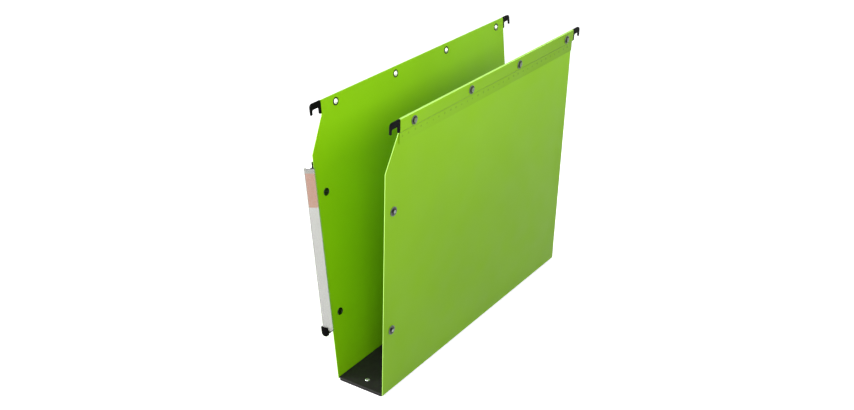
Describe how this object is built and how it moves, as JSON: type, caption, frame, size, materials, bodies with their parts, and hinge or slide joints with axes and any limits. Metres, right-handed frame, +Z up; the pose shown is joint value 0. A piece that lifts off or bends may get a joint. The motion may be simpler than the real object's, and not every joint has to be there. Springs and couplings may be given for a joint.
{
  "type": "hanging file folder",
  "caption": "Lateral hanging file with folding green sheets on a flat black base, hooked rails, press studs and a slanted label holder.",
  "frame": {"origin": "middle of the flat face that the base stands on", "axes": "+Y back along the file and its rails, +X across the base towards the sheet without the label, +Z up"},
  "size_m": [0.0912, 0.3605, 0.276],
  "materials": {
    "sheet_green": "fine-grained satin polypropylene",
    "base_black": "fine-grained satin",
    "rivet_metal": "satin",
    "rail_steel": "zinc plated",
    "hook_black": "satin",
    "eyelet_metal": "dark nickel",
    "washer_metal": "nickel",
    "stud_metal": "nickel",
    "edge_stud_metal": "dark nickel",
    "cap_metal": "dark nickel",
    "carrier_black": "satin",
    "socket_black": "black lacquer",
    "cover_clear": "clear",
    "label_paper": "matte"
  },
  "bodies": {
    "base": {"base_bottom_plate": "base_black", "base_sheet_strip": "sheet_green", "base_top_plate": "base_black", "base_rivets": "rivet_metal"},
    "left_side": {"left_panel": "sheet_green", "left_rail": "rail_steel", "left_front_hook": "hook_black", "left_back_hook": "hook_black", "left_eyelets": "eyelet_metal", "left_washers": "washer_metal", "label_carrier": "carrier_black", "label_foot": "carrier_black", "carrier_sockets": "socket_black"},
    "right_side": {"right_panel": "sheet_green", "right_rail": "rail_steel", "right_front_hook": "hook_black", "right_back_hook": "hook_black", "right_studs": "stud_metal", "right_stud_caps": "cap_metal", "edge_studs": "edge_stud_metal", "edge_stud_caps": "cap_metal"},
    "cover": {"label_cover": "cover_clear"},
    "label": {"label_insert": "label_paper"}
  },
  "joints": [
    {"name": "left_fold", "type": "hinge", "parent": "base", "child": "left_side", "pos_m": [-0.0261, 0, 0.0016], "axis": [0, -1, 0], "range_deg": [-9.8, 77]},
    {"name": "right_fold", "type": "hinge", "parent": "base", "child": "right_side", "pos_m": [0.0261, 0, 0.0016], "axis": [0, 1, 0], "range_deg": [-6.8, 86]},
    {"name": "cover_slide", "type": "slide", "parent": "left_side", "child": "cover", "axis": [-0.086, 0, 0.9963], "range_m": [0, 0.165]},
    {"name": "label_slide", "type": "slide", "parent": "left_side", "child": "label", "axis": [-0.086, 0, 0.9963], "range_m": [0, 0.165]}
  ]
}
